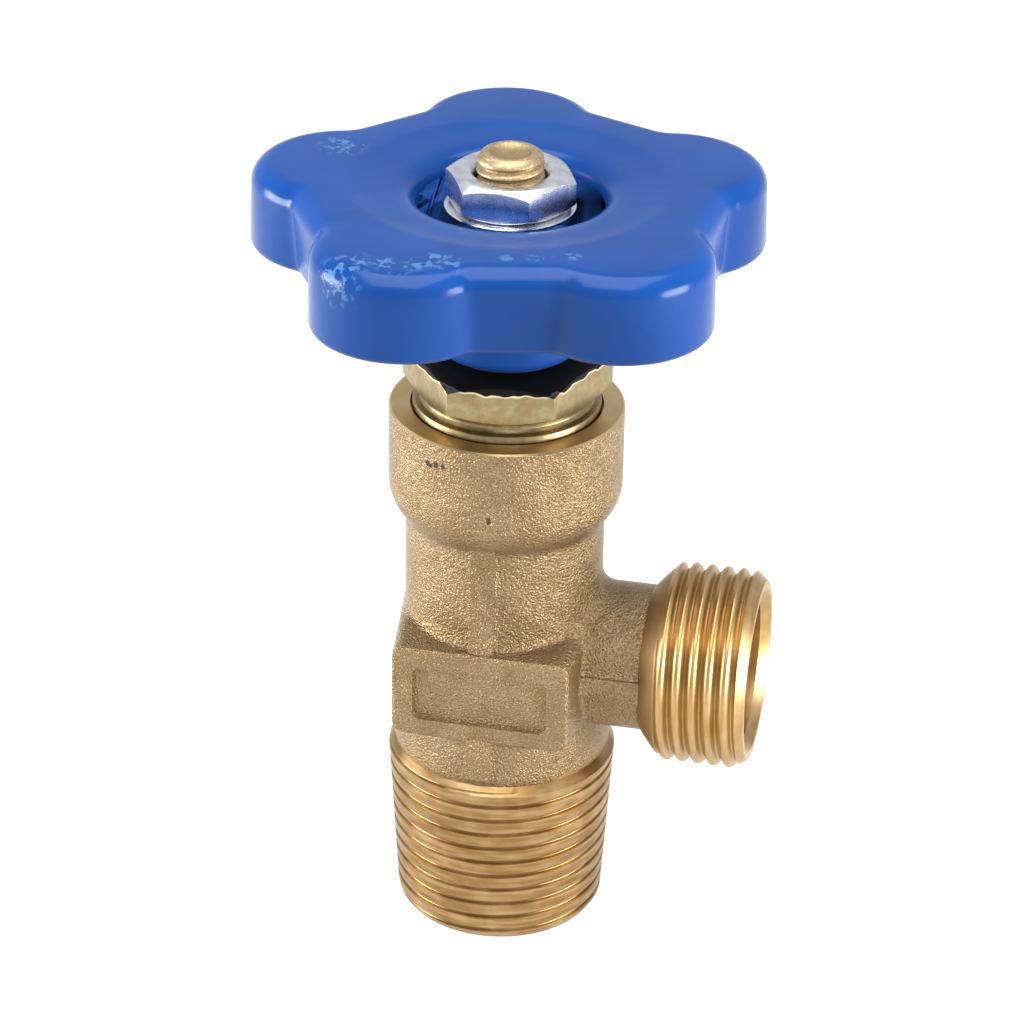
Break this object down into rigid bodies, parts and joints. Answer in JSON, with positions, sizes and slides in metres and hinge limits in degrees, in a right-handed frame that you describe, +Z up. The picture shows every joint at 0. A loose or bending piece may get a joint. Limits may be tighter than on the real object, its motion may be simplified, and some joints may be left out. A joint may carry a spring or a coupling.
{
  "type": "gas cylinder valve",
  "caption": "Forged brass gas cylinder valve with taper-threaded inlet, side outlet with parallel thread, and a lobed dished handwheel whose spindle lifts a soft-seated plunger.",
  "frame": {"origin": "centre of the inlet's end face, on the valve's own axis, at the small end of the taper shank", "axes": "+Z up the spindle towards the handwheel, +X along the outlet, -Y out of the forged flat with the recessed field"},
  "size_m": [0.0592, 0.057, 0.0949],
  "materials": {
    "forged_brass": "shot-blasted forging with polished machined threads",
    "gland_brass": "turned brass, blackened on top",
    "stem_brass": "turned brass",
    "drive_steel": "cut plate",
    "nylon": "moulded nylon",
    "glide_plastic": "black low-friction plastic sheet",
    "blue_enamel": "glossy baked enamel on a die casting",
    "spring_steel": "drawn wire",
    "zinc_steel": "bright zinc plate"
  },
  "bodies": {
    "housing": {"valve_body": "forged_brass", "gland_nut": "gland_brass", "gland_gasket": "nylon", "stem_gasket": "nylon"},
    "spindle": {"stem": "stem_brass", "drive_plate": "drive_steel", "handwheel": "blue_enamel", "glide_washer": "glide_plastic", "wheel_spring": "spring_steel", "spring_cap": "zinc_steel", "wheel_nut": "zinc_steel"},
    "closer": {"plunger": "stem_brass", "seat_insert": "nylon"}
  },
  "joints": [
    {"name": "handwheel_turn", "type": "hinge", "parent": "housing", "child": "spindle", "pos_m": [0, 0, 0.0714], "axis": [0, 0, 1], "range_deg": [0, 720]},
    {"name": "plunger_lift", "type": "slide", "parent": "spindle", "child": "closer", "axis": [0, 0, 1], "range_m": [0, 0.003]}
  ],
  "couplings": [
    {"joint": "plunger_lift", "follows": "handwheel_turn", "m_per_rad": 0.0002387}
  ]
}
